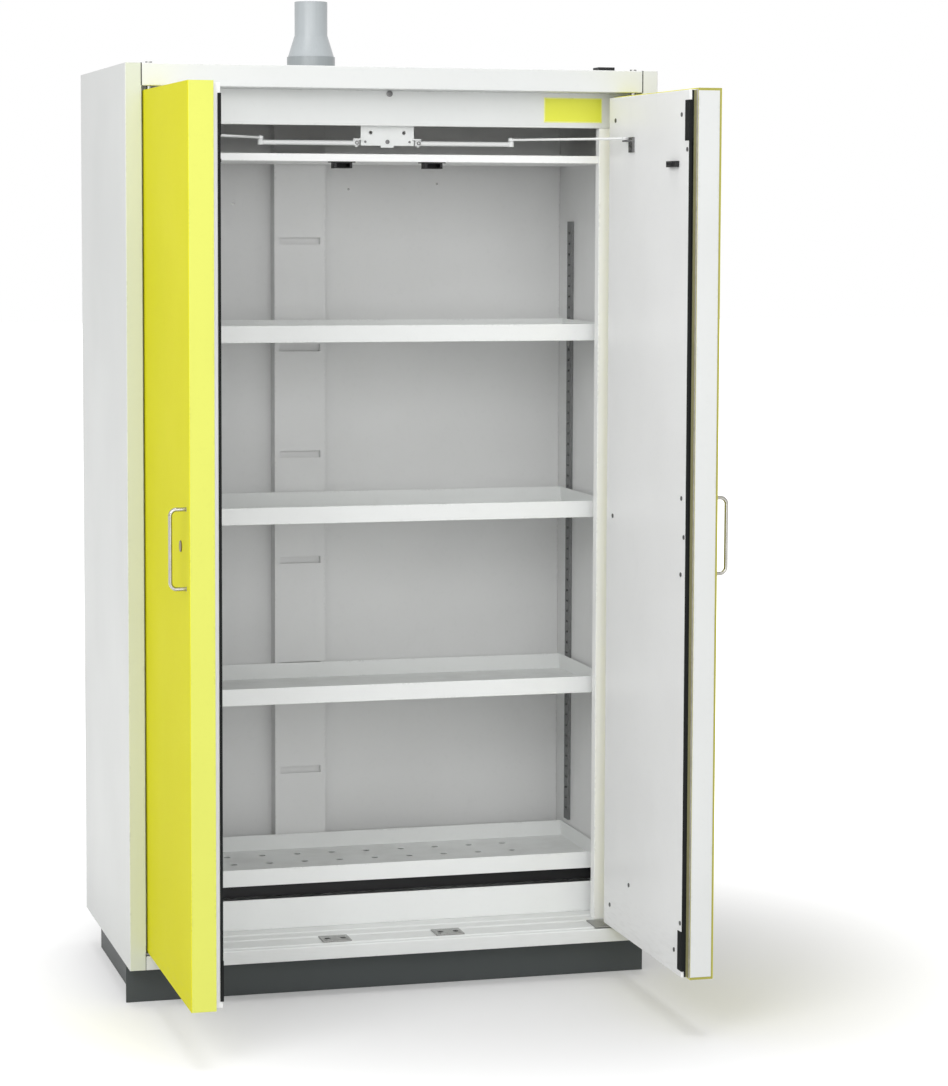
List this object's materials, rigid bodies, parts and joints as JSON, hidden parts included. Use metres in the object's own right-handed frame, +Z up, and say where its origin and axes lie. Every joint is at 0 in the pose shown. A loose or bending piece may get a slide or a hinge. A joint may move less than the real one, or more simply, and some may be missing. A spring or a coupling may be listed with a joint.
{
  "type": "flammable safety cabinet",
  "caption": "Tall fire-rated cabinet for flammable liquids with yellow wing doors standing open, closer arms, tray shelves, a leak sump and a rear exhaust duct with a roof spigot.",
  "frame": {"origin": "on the floor, under the middle of the carcass in width and depth", "axes": "+Z up, +Y towards the back wall, +X towards the right as seen from the front"},
  "size_m": [1.14, 1.125, 2.12],
  "materials": {
    "white_paint": "powder coat, light grey-white",
    "rear_paint": "plain coated sheet",
    "yellow_paint": "powder coat, safety yellow",
    "plinth_paint": "dark grey coat",
    "insulation": "mineral fire board",
    "grey_laminate": "grey melamine-faced board",
    "white_laminate": "white melamine-faced board",
    "tray_paint": "light grey powder coat",
    "duct_paint": "light grey coat",
    "satin_steel": "satin",
    "closer_steel": "zinc plated",
    "bush_bronze": "sintered bronze",
    "seal_black": "intumescent seal, matt",
    "black_plastic": "matt",
    "pipe_grey": "grey pipe plastic"
  },
  "bodies": {
    "carcass": {"left_side_panel": "white_paint", "right_side_panel": "white_paint", "roof_panel": "white_paint", "header_frame": "white_paint", "left_jamb": "white_paint", "right_jamb": "white_paint", "sill_rail": "white_paint", "closer_housing": "white_paint", "rear_panel": "rear_paint", "header_plate": "yellow_paint", "plinth_front": "plinth_paint", "base_frame": "plinth_paint", "insulation_boards": "insulation", "floor_board": "insulation", "left_inner_liner": "grey_laminate", "right_inner_liner": "grey_laminate", "rear_liner": "grey_laminate", "ceiling_panel": "white_laminate", "upper_shelf": "tray_paint", "middle_shelf": "tray_paint", "lower_shelf": "tray_paint", "bottom_insert": "tray_paint", "sump_tray": "tray_paint", "exhaust_duct": "duct_paint", "shelf_rails": "duct_paint", "header_screws": "satin_steel", "sill_plates": "satin_steel", "hinge_pins": "satin_steel", "shelf_clips": "satin_steel", "levelling_feet": "closer_steel", "top_catches": "black_plastic", "supply_air_cap": "black_plastic", "exhaust_collar": "pipe_grey", "exhaust_reducer": "pipe_grey"},
    "left_door": {"left_door_shell": "yellow_paint", "left_door_core": "insulation", "left_door_inner_panel": "white_laminate", "left_door_seal": "seal_black", "left_handle": "satin_steel", "left_door_screws": "satin_steel", "left_catch_clip": "black_plastic", "left_closer_bracket": "closer_steel", "left_hinge_bushes": "bush_bronze"},
    "right_door": {"right_door_shell": "yellow_paint", "right_door_core": "insulation", "right_door_inner_panel": "white_laminate", "right_door_seal": "seal_black", "right_handle": "satin_steel", "right_door_screws": "satin_steel", "right_catch_clip": "black_plastic", "right_closer_bracket": "closer_steel", "right_hinge_bushes": "bush_bronze", "right_door_edge_strip": "white_paint"},
    "left_arm": {"left_closer_arm": "closer_steel"},
    "left_rod": {"left_closer_rod": "closer_steel"},
    "right_arm": {"right_closer_arm": "closer_steel"},
    "right_rod": {"right_closer_rod": "closer_steel"},
    "damper": {"exhaust_damper": "pipe_grey"},
    "lock": {"lock_cylinder": "satin_steel"},
    "bolt_rod": {"lock_rod": "satin_steel"}
  },
  "joints": [
    {"name": "left_door_swing", "type": "hinge", "parent": "carcass", "child": "left_door", "pos_m": [-0.519, -0.297, 1.0085], "axis": [0, 0, 1], "range_deg": [0, 90]},
    {"name": "left_arm_turn", "type": "hinge", "parent": "carcass", "child": "left_arm", "pos_m": [-0.067, -0.2205, 1.799], "axis": [0, 0, -1], "range_deg": [0, 57.23]},
    {"name": "left_rod_turn", "type": "hinge", "parent": "left_door", "child": "left_rod", "pos_m": [-0.458, -0.43, 1.80875], "axis": [0, 0, -1], "range_deg": [0, 96.36]},
    {"name": "right_door_swing", "type": "hinge", "parent": "carcass", "child": "right_door", "pos_m": [0.519, -0.297, 1.0085], "axis": [0, 0, -1], "range_deg": [0, 90]},
    {"name": "right_arm_turn", "type": "hinge", "parent": "carcass", "child": "right_arm", "pos_m": [0.067, -0.2205, 1.799], "axis": [0, 0, 1], "range_deg": [0, 57.23]},
    {"name": "right_rod_turn", "type": "hinge", "parent": "right_door", "child": "right_rod", "pos_m": [0.458, -0.43, 1.80875], "axis": [0, 0, 1], "range_deg": [0, 96.36]},
    {"name": "damper_turn", "type": "hinge", "parent": "carcass", "child": "damper", "pos_m": [-0.07, 0.205, 1.945], "axis": [1, 0, 0], "range_deg": [0, 90]},
    {"name": "lock_turn", "type": "hinge", "parent": "left_door", "child": "lock", "pos_m": [-0.519, -0.721, 1.011], "axis": [-1, 0, 0], "range_deg": [0, 90]},
    {"name": "bolt_rod_drop", "type": "slide", "parent": "left_door", "child": "bolt_rod", "axis": [0, 0, -1], "range_m": [0, 0.014]}
  ],
  "couplings": [
    {"joint": "left_arm_turn", "follows": "left_door_swing", "ratio": 0.63538},
    {"joint": "left_rod_turn", "follows": "left_door_swing", "ratio": 1.0701},
    {"joint": "right_arm_turn", "follows": "right_door_swing", "ratio": 0.63538},
    {"joint": "right_rod_turn", "follows": "right_door_swing", "ratio": 1.0701},
    {"joint": "lock_turn", "follows": "bolt_rod_drop", "rad_per_m": 112.19}
  ]
}
